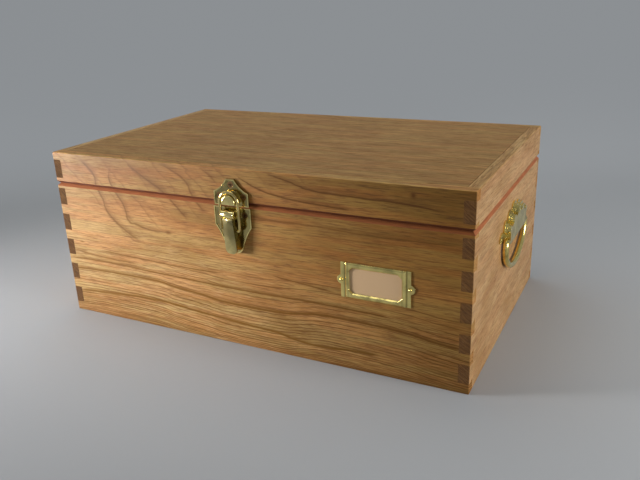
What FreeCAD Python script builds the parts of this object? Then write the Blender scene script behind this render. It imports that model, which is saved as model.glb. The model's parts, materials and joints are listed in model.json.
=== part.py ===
import FreeCAD, Part
import math
import os

from FreeCAD import Vector

# A small lidded wooden case with dovetailed corners and brass fittings.
#
# Millimetres.  The origin is the middle of the underside, +X runs to the right-hand
# end, +Y to the back and +Z up.  Each function below makes one kind of piece, and the
# last section writes one STEP file for each node.

os.makedirs("parts", exist_ok=True)

# ---------------------------------------------------------------- case
CASE_W = 400.0            # length, along X
CASE_D = 244.0            # depth, along Y
CASE_H = 161.4            # height with the lid shut
WALL = 9.0                # thickness of the boards round the case
SEAM_Z = 131.5            # height of the middle of the seam
SEAM_GAP = 0.2            # air between box and lid when shut
LIPPING_H = 2.4           # height of each strip of red wood at the seam
EDGE_R = 1.0              # rounding of the case's outer edges

# ---------------------------------------------------------------- dovetails
TAIL_SLOPE_DEG = 8.0      # slope of a tail's cheeks
BOX_TAIL_H = 16.0         # height of a tail's end on the box
BOX_TAIL_PITCH = 25.4     # from one tail to the next
BOX_TAIL_LOWEST = 17.2    # middle of the lowest tail
BOX_TAILS = 5
LID_TAIL_H = 17.2         # height of the lid's one tail
LID_TAIL_UP = 11.6        # middle of the lid's tail above the foot of its board

# ---------------------------------------------------------------- panels
BOTTOM_T = 6.0            # thickness of the bottom panel
BOTTOM_LAP = 4.5          # how far it reaches under the walls
PANEL_T = 8.0             # thickness of the lid's panel
PANEL_GAP = 0.3           # joint line round each panel
TONGUE_T = 3.0            # tongue round the lid's panel
TONGUE_LAP = 4.0          # how far the tongue reaches into the boards
TONGUE_DOWN = 3.4         # top of the tongue below the panel's face

# ---------------------------------------------------------------- hinges
AXIS_INSET = 2.2          # the lid turns about a line this far inside the back face
HINGE_IN = 70.0           # middle of each hinge from the case's end
HINGE_L = 50.0            # length of a leaf
KNUCKLES = 5
KNUCKLE_R = 2.1
KNUCKLE_GAP = 0.25        # air at a knuckle's ends
KNUCKLE_CLEAR = 0.25      # air round the barrel
LEAF_T = 1.3
HINGE_PIN_R = 1.0
RUNNING_FIT = 0.05        # radial air where one metal piece turns on another
HINGE_SCREW_X = 16.0      # screws either side of the middle of a leaf
HINGE_SCREW_IN = 2.3      # screws from the inner edge of the leaf
LID_STOP_DEG = 95.0       # the lid's bevel meets the box's just past this

# ---------------------------------------------------------------- screws
SCREW_POINT = 2.0         # length of the tapered point
CROSS_W = 0.24            # width of the cross recess, as a share of the head's radius
CROSS_REACH = 0.62        # reach of its arms, as a share of the head's radius
CROSS_DEEP = 0.5
SMALL_HEAD_R = 1.7        # screws of the hinges and handles
SMALL_SHANK_R = 0.9
CATCH_HEAD_R = 2.8        # screws of the catch
CATCH_SHANK_R = 1.3
SCREW_L = 8.0

# ---------------------------------------------------------------- draw catch
CATCH_X = -2.0            # middle of the catch from the middle of the case
CATCH_PLATE_T = 1.6       # plates with their raised rim
CATCH_RIM_W = 1.1         # width of the rim
CATCH_RIM_H = 0.5         # its height above the field of the plate
DISH_R = 3.3              # dish round each screw's head
DISH_DEEP = 0.25
CATCH_BELOW_SEAM = 2.4    # top of the catch plate below the seam
PLATE_SPLIT = 1.2         # between the catch plate and the strike plate
STRIKE_H = 22.5           # height of the strike plate
STRIKE_SIDE_H = 11.4      # height of its straight sides
STRIKE_HALF_W = 16.7
STRIKE_TOP_HALF_W = 4.0
STRIKE_SCREW_X = 11.5
STRIKE_SCREW_UP = 8.0     # side screws above the strike plate's foot
STRIKE_SCREW_DOWN = 4.8   # top screw below the strike plate's top
BOSS_R = 6.6
BOSS_UP = 3.6             # centre of the boss's round top above the plate's foot
BOSS_FOOT_UP = 2.1        # flat foot of the boss above the plate's foot
BOSS_OUT = 7.4            # reach of the boss from the wood
BOSS_EASE = 1.6           # rounding of the boss's face
CATCH_H = 40.9            # height of the catch plate
CATCH_SIDE_H = 16.4       # height of its straight sides
CATCH_TOE_H = 4.4         # height of its round toe
CATCH_HALF_W = 17.9
CATCH_TOE_HALF_W = 8.0
CATCH_SCREW_X = 11.6
CATCH_SCREW_DOWN = 6.3    # screws below the plate's top
HOLLOW = 1.0              # how far the plates' hollow sides bend in
LEVER_PIVOT_DOWN = 5.0    # pivot below the catch plate's top
LEVER_PIVOT_OUT = 6.6     # pivot from the wood
LEVER_PIN_R = 1.2
LEVER_BARREL_R = 3.5
LEVER_BARREL_HALF_W = 4.8
LEVER_T = 1.2             # thickness of the lever's tongue
LEVER_HEAD_DOWN = 2.6     # top of the tongue below the pivot
LEVER_HEAD_OUT = 9.6
LEVER_HEAD_HALF_W = 4.7
LEVER_WAIST_DOWN = 16.5
LEVER_WAIST_OUT = 8.5
LEVER_TIP_DOWN = 34.6     # end of the lever below the pivot
LEVER_TIP_OUT = 6.9
LEVER_TIP_HALF_W = 5.6
LEVER_TIP_R = 4.6
CHEEK_T = 1.0             # the two cheeks under the tongue
CHEEK_HALF_W = 4.4
CHEEK_FOOT = 20.5         # lower end of the cheeks below the pivot
CHEEK_CLEAR = 0.8         # between the cheeks and the catch plate's rim
EAR_T = 1.2
EAR_R = 3.5
EAR_GAP = 0.2             # between the lever's barrel and each ear
LOOP_WIRE_R = 1.3
LOOP_HALF_W = 8.8         # middle of the wire
LOOP_DOWN = 14.0          # the loop's ends below the lever's pivot
LOOP_OUT = 5.4            # middle of the wire from the wood
LOOP_ELBOW_R = 1.8
LOOP_END_X = 3.1          # how near the middle the loop's ends reach

# ---------------------------------------------------------------- label holder
LABEL_IN = 75.7           # middle of the label holder from the case's right-hand end
LABEL_Z = 80.1
LABEL_W = 58.2
LABEL_H = 30.0
FLANGE_T = 0.9            # the flat flange at each end
MOULD_W = 50.4            # the raised moulding round the window
MOULD_SIDE = 1.5          # height of its straight sides from the wood
MOULD_T = 2.4             # height of its top from the wood
MOULD_BEVEL = 1.3         # width of the bevel outside it
WINDOW_W = 43.4
WINDOW_H = 21.0
WINDOW_CUT = 2.8          # the window's cut corners
WINDOW_BEVEL = 1.0        # width of the bevel inside the moulding
LABEL_EAR_X = 28.4
LABEL_EAR_R = 4.0
LABEL_POCKET_DEEP = 0.8
LABEL_POCKET_W = 47.0
CARD_T = 0.5
CARD_GAP = 0.3            # air between card and pocket
CARD_FOOT = 2.4           # card's lower edge above the frame's
LABEL_PIN_R = 0.9
LABEL_PIN_HEAD_R = 1.6
LABEL_PIN_L = 7.0

# ---------------------------------------------------------------- handles
HANDLE_Y = 6.0            # middle of each handle behind the middle of the case
HANDLE_PIVOT_Z = 92.5
HANDLE_PLATE_T = 1.6
HANDLE_FOOT_DOWN = 2.4    # foot of the raised field below the bail's axis
HANDLE_SHOULDER_UP = 3.3  # foot of the plate's ends above the axis, clear of the bail
HANDLE_LOBES = [          # scallops of the plate: from the middle, above the axis, radius
    (0.0, 17.4, 8.4),
    (16.0, 14.6, 7.8),
    (30.5, 10.0, 7.2),
    (43.5, 3.6, 7.0),
]
HOUSING_HALF_W = 33.4     # raised field at its foot, where it holds the bail's pins
HOUSING_STEPS = [         # each step of the raised field: inset of its scallops, height
    (2.4, 3.4),
    (3.9, 5.8),
]
HANDLE_OUT = 3.3          # bail's axis from the wood
BAIL_R = 2.7
BAIL_HALF_W = 38.2
BAIL_SIDE_GAP = 0.3       # between the bail's shoulder and the housing
BAIL_DROP = 30.0          # from the axis to the middle of the bar at its lowest
BAIL_ELBOW_R = 3.4
BAIL_CORNER_R = 18.0
BAIL_CORNER_DOWN = 1.0    # straight run between elbow and corner
BAIL_PIN_R = 1.5
BAIL_PIN_IN = 6.0         # how far the bail's pins reach into the housing
HANDLE_SCREW_AT = [(-43.2, 6.6), (43.2, 6.6), (0.0, 18.4)]
HANDLE_WELL_R = 2.6       # well in the raised field round the middle screw's head

# ---------------------------------------------------------------- what follows from these
RIGHT = CASE_W / 2
HINGE_X = RIGHT - HINGE_IN
LABEL_X = RIGHT - LABEL_IN
BACK = CASE_D / 2
FRONT = -BACK
BOX_TOP = SEAM_Z - SEAM_GAP / 2 - LIPPING_H
LID_FOOT = SEAM_Z + SEAM_GAP / 2 + LIPPING_H
AXIS_Y = BACK - AXIS_INSET
INNER_X = RIGHT - WALL
INNER_Y = BACK - WALL
CATCH_TOP = SEAM_Z - CATCH_BELOW_SEAM
CATCH_FOOT = CATCH_TOP - CATCH_H
STRIKE_FOOT = CATCH_TOP + PLATE_SPLIT
STRIKE_TOP = STRIKE_FOOT + STRIKE_H
BOSS_Z = STRIKE_FOOT + BOSS_UP
LEVER_PIVOT_Z = CATCH_TOP - LEVER_PIVOT_DOWN
LOOP_FOOT = LEVER_PIVOT_Z - LOOP_DOWN
CATCH_FIELD = CATCH_PLATE_T - CATCH_RIM_H
OVER = 5.0                # how far a cutting tool reaches past what it cuts


# ================================================================ plain shapes
def block(x0, x1, y0, y1, z0, z1):
    """A box between two corners."""
    return Part.makeBox(x1 - x0, y1 - y0, z1 - z0, Vector(x0, y0, z0))


def rod_x(x0, x1, y, z, radius):
    """A round bar along X."""
    return Part.makeCylinder(radius, x1 - x0, Vector(x0, y, z), Vector(1, 0, 0))


def rod_y(y0, y1, x, z, radius):
    """A round bar along Y."""
    return Part.makeCylinder(radius, y1 - y0, Vector(x, y0, z), Vector(0, 1, 0))


def fused(shapes):
    """One solid from several that touch, without the seams between them."""
    whole = shapes[0]
    for shape in shapes[1:]:
        whole = whole.fuse(shape)
    return whole.removeSplitter()


def mirrored_x(shape):
    """The same piece on the other side of the middle of the case's length."""
    return shape.mirror(Vector(0, 0, 0), Vector(1, 0, 0))


def mirrored_y(shape):
    """The same piece on the other side of the middle of the case's depth."""
    return shape.mirror(Vector(0, 0, 0), Vector(0, 1, 0))


def face_of(edges):
    """A flat face inside a closed run of edges."""
    return Part.Face(Part.Wire(edges))


def polygon(points):
    """The edges of a closed outline with straight sides."""
    closed = points + points[:1]
    return [Part.makeLine(a, b) for a, b in zip(closed, closed[1:])]


def three_point_arc(start, middle, end):
    """An arc through three points."""
    return Part.Arc(start, middle, end).toShape()


def round_bar(path, radius, start, direction):
    """A round bar bent along a path of straight runs and tangent arcs."""
    section = Part.Face(Part.Wire([Part.makeCircle(radius, start, direction)]))
    return path.makePipe(section)


# ================================================================ screws
def screw(head, direction, head_r, shank_r, length):
    """A countersunk wood screw, its head's face at one point, without the recess."""
    cone_h = head_r - shank_r
    neck = head + direction * cone_h
    tip = head + direction * (length - SCREW_POINT)
    cone = Part.makeCone(head_r, shank_r, cone_h, head, direction)
    shank = Part.makeCylinder(shank_r, length - SCREW_POINT - cone_h, neck, direction)
    point = Part.makeCone(shank_r, 0, SCREW_POINT, tip, direction)
    return fused([cone, shank, point])


def recessed(shape, head, direction, across, head_r):
    """The screw with a cross recess in its head."""
    third = direction.cross(across)
    reach = head_r * CROSS_REACH
    half_w = head_r * CROSS_W / 2
    for along, side in ((across, third), (third, across)):
        corner = head - along * reach - side * half_w - direction * CROSS_DEEP
        edges = polygon([
            corner,
            corner + along * (2 * reach),
            corner + along * (2 * reach) + side * (2 * half_w),
            corner + side * (2 * half_w),
        ])
        shape = shape.cut(face_of(edges).extrude(direction * (2 * CROSS_DEEP)))
    return shape


def screw_row(heads, direction, across, head_r, shank_r):
    """Screws at several places: the plain ones that cut their holes, and the finished ones."""
    plain = [screw(head, direction, head_r, shank_r, SCREW_L) for head in heads]
    cut = [recessed(s, head, direction, across, head_r) for s, head in zip(plain, heads)]
    return plain, cut


def without(shape, tools):
    """A piece with the holes or seats of others cut in it."""
    for tool in tools:
        shape = shape.cut(tool)
    return shape


# ================================================================ case
def rounded_case():
    """The outside of the whole case with its edges eased."""
    whole = block(-RIGHT, RIGHT, FRONT, BACK, 0, CASE_H)
    return whole.makeFillet(EDGE_R, whole.Edges)


def tail(z_mid, height):
    """The tail at the front of the right-hand board, widest at its end."""
    taper = WALL * math.tan(math.radians(TAIL_SLOPE_DEG))
    end = height / 2
    root = end - taper
    face = face_of(polygon([
        Vector(INNER_X, FRONT, z_mid - end),
        Vector(INNER_X, FRONT, z_mid + end),
        Vector(INNER_X, FRONT + WALL, z_mid + root),
        Vector(INNER_X, FRONT + WALL, z_mid - root),
    ]))
    return face.extrude(Vector(WALL, 0, 0))


def tails_at_four_corners(middles, height):
    """Tails of the right-hand board, front then back, and of the left-hand board."""
    front = [tail(z, height) for z in middles]
    right = front + [mirrored_y(t) for t in front]
    left = [mirrored_x(t) for t in right]
    return right, left


def wall_set(z0, z1, middles, height):
    """Four boards with dovetailed corners between two heights."""
    right_tails, left_tails = tails_at_four_corners(middles, height)
    plank = block(INNER_X, RIGHT, -INNER_Y, INNER_Y, z0, z1)
    right = fused([plank] + right_tails)
    left = fused([mirrored_x(plank)] + left_tails)
    front = block(-RIGHT, RIGHT, FRONT, -INNER_Y, z0, z1)
    front = without(front, [t for t in right_tails + left_tails if t.CenterOfMass.y < 0])
    back = block(-RIGHT, RIGHT, INNER_Y, BACK, z0, z1)
    back = without(back, [t for t in right_tails + left_tails if t.CenterOfMass.y > 0])
    boards = {"front": front, "back": back, "left": left, "right": right}
    outside = rounded_case()
    return {name: board.common(outside) for name, board in boards.items()}


def bottom_panel(gap):
    """The bottom panel, or with a gap its seat in the walls."""
    reach_x = INNER_X + BOTTOM_LAP - PANEL_GAP + gap
    reach_y = INNER_Y + BOTTOM_LAP - PANEL_GAP + gap
    return block(-reach_x, reach_x, -reach_y, reach_y, 0, BOTTOM_T)


def top_panel(gap):
    """The lid's panel with its tongue, or with a gap the tongue's groove."""
    tongue_top = CASE_H - TONGUE_DOWN
    reach_x = INNER_X + TONGUE_LAP - PANEL_GAP + gap
    reach_y = INNER_Y + TONGUE_LAP - PANEL_GAP + gap
    tongue = block(-reach_x, reach_x, -reach_y, reach_y, tongue_top - TONGUE_T, tongue_top)
    if gap:
        return tongue
    side_x = INNER_X - PANEL_GAP
    side_y = INNER_Y - PANEL_GAP
    slab = block(-side_x, side_x, -side_y, side_y, CASE_H - PANEL_T, CASE_H)
    return fused([slab, tongue])


def bevelled_ring(z_wood, z_seam):
    """The red lipping round the rim: full size at the wood, bevelled in to the seam."""
    def outline(inset, z):
        return Part.makePolygon([
            Vector(-RIGHT + inset, FRONT + inset, z),
            Vector(RIGHT - inset, FRONT + inset, z),
            Vector(RIGHT - inset, BACK - inset, z),
            Vector(-RIGHT + inset, BACK - inset, z),
            Vector(-RIGHT + inset, FRONT + inset, z),
        ])
    solid = Part.makeLoft([outline(0, z_wood), outline(LIPPING_H, z_seam)], True, True)
    low = min(z_wood, z_seam) - OVER
    high = max(z_wood, z_seam) + OVER
    ring = solid.cut(block(-INNER_X, INNER_X, -INNER_Y, INNER_Y, low, high))
    return ring.common(rounded_case())


def lipping_set(z_wood, z_seam):
    """The ring cut into four strips by mitres at the corners."""
    ring = bevelled_ring(z_wood, z_seam)
    low = min(z_wood, z_seam)
    high = max(z_wood, z_seam)

    def quarter(a, b, c, d):
        corners = [Vector(x, y, low) for x, y in (a, b, c, d)]
        return face_of(polygon(corners)).extrude(Vector(0, 0, high - low))
    front = quarter((-RIGHT, FRONT), (RIGHT, FRONT), (INNER_X, -INNER_Y), (-INNER_X, -INNER_Y))
    right = quarter((RIGHT, FRONT), (RIGHT, BACK), (INNER_X, INNER_Y), (INNER_X, -INNER_Y))
    return {
        "front": ring.common(front),
        "back": ring.common(mirrored_y(front)),
        "left": ring.common(mirrored_x(right)),
        "right": ring.common(right),
    }


# ================================================================ hinges
def knuckle_spans(of_lid):
    """Where along a hinge each knuckle of one leaf starts and ends."""
    step = HINGE_L / KNUCKLES
    first = 1 if of_lid else 0
    starts = [i * step - HINGE_L / 2 for i in range(first, KNUCKLES, 2)]
    return [(start, start + step) for start in starts]


def leaf_blank(of_lid):
    """The flat of a leaf, which is also its mortise in the lipping."""
    near = SEAM_GAP / 2
    far = near + LEAF_T
    if of_lid:
        return block(-HINGE_L / 2, HINGE_L / 2, INNER_Y, AXIS_Y, SEAM_Z + near, SEAM_Z + far)
    return block(-HINGE_L / 2, HINGE_L / 2, INNER_Y, AXIS_Y, SEAM_Z - far, SEAM_Z - near)


def hinge_leaf(of_lid):
    """One leaf with its knuckles, at the middle of the case's length."""
    leaf = leaf_blank(of_lid)
    for x0, x1 in knuckle_spans(not of_lid):
        room = KNUCKLE_R + KNUCKLE_CLEAR
        leaf = leaf.cut(rod_x(x0 - KNUCKLE_GAP / 2, x1 + KNUCKLE_GAP / 2, AXIS_Y, SEAM_Z, room))
    for x0, x1 in knuckle_spans(of_lid):
        start = max(x0 + KNUCKLE_GAP / 2, -HINGE_L / 2)
        end = min(x1 - KNUCKLE_GAP / 2, HINGE_L / 2)
        leaf = leaf.fuse(rod_x(start, end, AXIS_Y, SEAM_Z, KNUCKLE_R))
    bore = HINGE_PIN_R + (RUNNING_FIT if of_lid else 0)
    leaf = leaf.cut(rod_x(-HINGE_L, HINGE_L, AXIS_Y, SEAM_Z, bore))
    return leaf.removeSplitter()


def hinge_seat(of_lid):
    """What a hinge needs cut from the wood: the leaf's mortise and room for the barrel."""
    end = HINGE_L / 2 + KNUCKLE_CLEAR
    barrel = rod_x(-end, end, AXIS_Y, SEAM_Z, KNUCKLE_R + KNUCKLE_CLEAR)
    return leaf_blank(of_lid).fuse(barrel)


def hinge_screw_heads(of_lid):
    """Heads of the screws of both leaves on one half of the case."""
    z = SEAM_Z + SEAM_GAP / 2 if of_lid else SEAM_Z - SEAM_GAP / 2
    y = INNER_Y + HINGE_SCREW_IN
    return [
        Vector(side * HINGE_X + along * HINGE_SCREW_X, y, z)
        for side in (-1, 1)
        for along in (-1, 1)
    ]


def moved_x(shape, x):
    """A copy moved along the case."""
    copy = shape.copy()
    copy.translate(Vector(x, 0, 0))
    return copy


# ================================================================ plates on the front
def on_front(x, z, out=0.0):
    """A point that stands some way out from the front face."""
    return Vector(x, FRONT - out, z)


def raised_rim_plate(edges, thickness):
    """A plate on the front face whose field is sunk inside a raised rim."""
    face = face_of(edges)
    plate = face.extrude(Vector(0, -thickness, 0))
    field = face.makeOffset2D(-CATCH_RIM_W)
    field.translate(Vector(0, -(thickness - CATCH_RIM_H), 0))
    return plate.cut(field.extrude(Vector(0, -thickness, 0)))


def strike_outline():
    """The strike plate: square below, with hollow shoulders up to a narrow top."""
    wide = STRIKE_HALF_W
    top = STRIKE_TOP_HALF_W
    shoulder = STRIKE_FOOT + STRIKE_SIDE_H
    bend_x = (wide + top) / 2 - HOLLOW
    bend_z = (shoulder + STRIKE_TOP) / 2 - HOLLOW
    return [
        Part.makeLine(on_front(-wide, STRIKE_FOOT), on_front(wide, STRIKE_FOOT)),
        Part.makeLine(on_front(wide, STRIKE_FOOT), on_front(wide, shoulder)),
        three_point_arc(
            on_front(wide, shoulder), on_front(bend_x, bend_z), on_front(top, STRIKE_TOP)
        ),
        Part.makeLine(on_front(top, STRIKE_TOP), on_front(-top, STRIKE_TOP)),
        three_point_arc(
            on_front(-top, STRIKE_TOP), on_front(-bend_x, bend_z), on_front(-wide, shoulder)
        ),
        Part.makeLine(on_front(-wide, shoulder), on_front(-wide, STRIKE_FOOT)),
    ]


def strike_boss():
    """The round-topped boss that the loop draws down on."""
    disc = rod_y(FRONT - BOSS_OUT, FRONT, 0, BOSS_Z, BOSS_R)
    rim = [e for e in disc.Edges if e.BoundBox.YMax < FRONT - BOSS_EASE]
    disc = disc.makeFillet(BOSS_EASE, rim)
    foot = STRIKE_FOOT + BOSS_FOOT_UP
    below = block(-BOSS_R, BOSS_R, FRONT - BOSS_OUT, FRONT, foot - 2 * BOSS_R, foot)
    return disc.cut(below)


def dishes(heads):
    """Shallow dishes round screw heads that lie on a plate's field."""
    return [rod_y(h.y - OVER, h.y, h.x, h.z, DISH_R) for h in heads]


def strike_plate():
    """The strike plate and its boss in one piece."""
    return fused([raised_rim_plate(strike_outline(), CATCH_PLATE_T), strike_boss()])


def catch_outline():
    """The catch plate: square above, tapering through hollow sides to a round toe."""
    wide = CATCH_HALF_W
    toe = CATCH_TOE_HALF_W
    waist_z = CATCH_TOP - CATCH_SIDE_H
    toe_z = CATCH_FOOT + CATCH_TOE_H
    bend_x = (wide + toe) / 2 - HOLLOW
    bend_z = (waist_z + toe_z) / 2
    return [
        Part.makeLine(on_front(wide, CATCH_TOP), on_front(-wide, CATCH_TOP)),
        Part.makeLine(on_front(-wide, CATCH_TOP), on_front(-wide, waist_z)),
        three_point_arc(
            on_front(-wide, waist_z), on_front(-bend_x, bend_z), on_front(-toe, toe_z)
        ),
        three_point_arc(on_front(-toe, toe_z), on_front(0, CATCH_FOOT), on_front(toe, toe_z)),
        three_point_arc(
            on_front(toe, toe_z), on_front(bend_x, bend_z), on_front(wide, waist_z)
        ),
        Part.makeLine(on_front(wide, waist_z), on_front(wide, CATCH_TOP)),
    ]


def pivot_y():
    """Where the lever's pivot is along Y."""
    return FRONT - LEVER_PIVOT_OUT


def catch_ear():
    """The right-hand ear that carries the lever's pivot pin."""
    x0 = LEVER_BARREL_HALF_W + EAR_GAP
    x1 = x0 + EAR_T
    disc = rod_x(x0, x1, pivot_y(), LEVER_PIVOT_Z, EAR_R)
    stem = block(x0, x1, pivot_y(), FRONT - CATCH_FIELD / 2, LEVER_PIVOT_Z - EAR_R, LEVER_PIVOT_Z + EAR_R)
    return disc.fuse(stem)


def catch_plate():
    """The catch plate with its two ears."""
    ear = catch_ear()
    plate = fused([raised_rim_plate(catch_outline(), CATCH_PLATE_T), ear, mirrored_x(ear)])
    return plate.cut(catch_pin())


def catch_pin():
    """The pivot pin, through both ears."""
    end = LEVER_BARREL_HALF_W + EAR_GAP + EAR_T
    return rod_x(-end, end, pivot_y(), LEVER_PIVOT_Z, LEVER_PIN_R)


def lever_point(half_w, down, out):
    """A point on the left edge of the lever, down from the pivot and out from the wood."""
    return Vector(-half_w, FRONT - out, LEVER_PIVOT_Z - down)


def lever_tongue():
    """The lever's tongue as a sheet seen from the side, before its outline is cut."""
    def run(inward):
        return (
            lever_point(LEVER_TIP_HALF_W, LEVER_HEAD_DOWN, LEVER_HEAD_OUT - inward),
            lever_point(LEVER_TIP_HALF_W, LEVER_WAIST_DOWN, LEVER_WAIST_OUT - inward),
            lever_point(LEVER_TIP_HALF_W, LEVER_TIP_DOWN, LEVER_TIP_OUT - inward),
        )
    outer = run(0)
    inner = run(LEVER_T)
    return face_of([
        three_point_arc(*outer),
        Part.makeLine(outer[2], inner[2]),
        three_point_arc(inner[2], inner[1], inner[0]),
        Part.makeLine(inner[0], outer[0]),
    ]).extrude(Vector(2 * LEVER_TIP_HALF_W, 0, 0))


def lever_outline():
    """The tongue's outline from the front: widening downwards to a round end."""
    head_z = LEVER_PIVOT_Z - LEVER_HEAD_DOWN
    round_z = LEVER_PIVOT_Z - LEVER_TIP_DOWN + LEVER_TIP_R
    slack = LEVER_TIP_R * math.sqrt(0.5)
    corner = LEVER_TIP_HALF_W - LEVER_TIP_R
    end_z = round_z - LEVER_TIP_R
    half = LEVER_TIP_HALF_W
    edges = [
        Part.makeLine(on_front(-LEVER_HEAD_HALF_W, head_z), on_front(LEVER_HEAD_HALF_W, head_z)),
        Part.makeLine(on_front(LEVER_HEAD_HALF_W, head_z), on_front(half, round_z)),
        three_point_arc(
            on_front(half, round_z), on_front(corner + slack, round_z - slack),
            on_front(corner, end_z),
        ),
        Part.makeLine(on_front(corner, end_z), on_front(-corner, end_z)),
        three_point_arc(
            on_front(-corner, end_z), on_front(-corner - slack, round_z - slack),
            on_front(-half, round_z),
        ),
        Part.makeLine(on_front(-half, round_z), on_front(-LEVER_HEAD_HALF_W, head_z)),
    ]
    return face_of(edges).extrude(Vector(0, -(LEVER_HEAD_OUT + OVER), 0))


def lever_cheek():
    """The right-hand side of the lever's channel, which carries the loop's end."""
    near = CATCH_PLATE_T + CHEEK_CLEAR
    middle = LEVER_PIVOT_OUT
    under = (LEVER_T + CHEEK_T) / 2
    face = face_of(polygon([
        lever_point(-CHEEK_HALF_W, 0, middle),
        lever_point(-CHEEK_HALF_W, LEVER_BARREL_R, near + CHEEK_T),
        lever_point(-CHEEK_HALF_W, LEVER_BARREL_R + CHEEK_T, near),
        lever_point(-CHEEK_HALF_W, CHEEK_FOOT - CHEEK_T, near),
        lever_point(-CHEEK_HALF_W, CHEEK_FOOT, near + CHEEK_T),
        lever_point(-CHEEK_HALF_W, CHEEK_FOOT + under, LEVER_WAIST_OUT - under),
        lever_point(-CHEEK_HALF_W, LEVER_WAIST_DOWN, LEVER_WAIST_OUT - LEVER_T / 2),
        lever_point(-CHEEK_HALF_W, LEVER_HEAD_DOWN, LEVER_HEAD_OUT - LEVER_T / 2),
    ]))
    return face.extrude(Vector(-CHEEK_T, 0, 0))


def catch_lever():
    """The lever: barrel on the pivot, tongue, and the two cheeks under it."""
    half = LEVER_BARREL_HALF_W
    barrel = rod_x(-half, half, pivot_y(), LEVER_PIVOT_Z, LEVER_BARREL_R)
    tongue = lever_tongue().common(lever_outline())
    cheek = lever_cheek()
    lever = fused([barrel, tongue, cheek, mirrored_x(cheek)])
    lever = lever.cut(rod_x(-half, half, pivot_y(), LEVER_PIVOT_Z, LEVER_PIN_R + RUNNING_FIT))
    hole = rod_x(-half, half, FRONT - LOOP_OUT, LOOP_FOOT, LOOP_WIRE_R + RUNNING_FIT)
    return lever.cut(hole)


def catch_loop():
    """The bent wire loop: two legs, a round crown, and ends turned in through the flanges."""
    def at(x, z):
        return on_front(x, z, LOOP_OUT)
    half = LOOP_HALF_W
    bend = LOOP_ELBOW_R
    low = LOOP_FOOT + bend
    slack = bend * (1 - math.sqrt(0.5))
    path = Part.Wire([
        Part.makeLine(at(LOOP_END_X, LOOP_FOOT), at(half - bend, LOOP_FOOT)),
        three_point_arc(
            at(half - bend, LOOP_FOOT), at(half - slack, LOOP_FOOT + slack), at(half, low)
        ),
        Part.makeLine(at(half, low), at(half, BOSS_Z)),
        three_point_arc(at(half, BOSS_Z), at(0, BOSS_Z + half), at(-half, BOSS_Z)),
        Part.makeLine(at(-half, BOSS_Z), at(-half, low)),
        three_point_arc(
            at(-half, low), at(-half + slack, LOOP_FOOT + slack), at(-half + bend, LOOP_FOOT)
        ),
        Part.makeLine(at(-half + bend, LOOP_FOOT), at(-LOOP_END_X, LOOP_FOOT)),
    ])
    return round_bar(path, LOOP_WIRE_R, at(LOOP_END_X, LOOP_FOOT), Vector(1, 0, 0))


# ================================================================ label holder
def label_outline(width, height, cut, out):
    """A closed outline round the label's middle, its corners cut off by some amount."""
    half_w = width / 2
    half_h = height / 2
    corners = [
        (-half_w + cut, -half_h), (half_w - cut, -half_h), (half_w, -half_h + cut),
        (half_w, half_h - cut), (half_w - cut, half_h), (-half_w + cut, half_h),
        (-half_w, half_h - cut), (-half_w, -half_h + cut),
    ]
    if not cut:
        corners = corners[::2]
    points = [on_front(LABEL_X + x, LABEL_Z + z, out) for x, z in corners]
    return Part.makePolygon(points + points[:1])


def label_moulding():
    """The raised moulding round the window, with a bevel outside it."""
    body = Part.Face(label_outline(MOULD_W, LABEL_H, 0, 0)).extrude(Vector(0, -MOULD_SIDE, 0))
    top_w = MOULD_W - 2 * MOULD_BEVEL
    top_h = LABEL_H - 2 * MOULD_BEVEL
    bevel = Part.makeLoft([
        label_outline(MOULD_W, LABEL_H, 0, MOULD_SIDE), label_outline(top_w, top_h, 0, MOULD_T),
    ], True, True)
    return body.fuse(bevel)


def label_window():
    """The window with cut corners, wider at the front where its edges are bevelled."""
    wide = WINDOW_W + 2 * WINDOW_BEVEL
    high = WINDOW_H + 2 * WINDOW_BEVEL
    cut = WINDOW_CUT + WINDOW_BEVEL
    straight = Part.Face(label_outline(WINDOW_W, WINDOW_H, WINDOW_CUT, 0))
    straight = straight.extrude(Vector(0, -MOULD_T, 0))
    bevel = Part.makeLoft([
        label_outline(WINDOW_W, WINDOW_H, WINDOW_CUT, MOULD_SIDE / 2 + LABEL_POCKET_DEEP / 2),
        label_outline(wide, high, cut, MOULD_T),
    ], True, True)
    return straight.fuse(bevel)


def label_frame():
    """A pressed frame: flat flanges with ears, a moulding, and a pocket for the card."""
    half_w = LABEL_W / 2
    half_h = LABEL_H / 2
    front = FRONT - FLANGE_T
    plate = block(LABEL_X - half_w, LABEL_X + half_w, front, FRONT, LABEL_Z - half_h, LABEL_Z + half_h)
    ears = [
        rod_y(front, FRONT, LABEL_X + side * LABEL_EAR_X, LABEL_Z, LABEL_EAR_R) for side in (-1, 1)
    ]
    frame = fused([plate, label_moulding()] + ears)
    return without(frame, [label_window(), label_pocket()])


def label_pocket():
    """The recess behind the frame, open at the top, that the card slides down into."""
    half = LABEL_POCKET_W / 2
    foot = LABEL_Z - LABEL_H / 2 + CARD_FOOT
    top = LABEL_Z + LABEL_H / 2
    return block(LABEL_X - half, LABEL_X + half, FRONT - LABEL_POCKET_DEEP, FRONT, foot, top)


def label_card():
    """The card in its pocket, resting on the pocket's foot."""
    half = LABEL_POCKET_W / 2 - CARD_GAP
    foot = LABEL_Z - LABEL_H / 2 + CARD_FOOT
    top = LABEL_Z + LABEL_H / 2 - CARD_GAP
    back = FRONT - (LABEL_POCKET_DEEP - CARD_T) / 2
    return block(LABEL_X - half, LABEL_X + half, back - CARD_T, back, foot, top)


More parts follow.
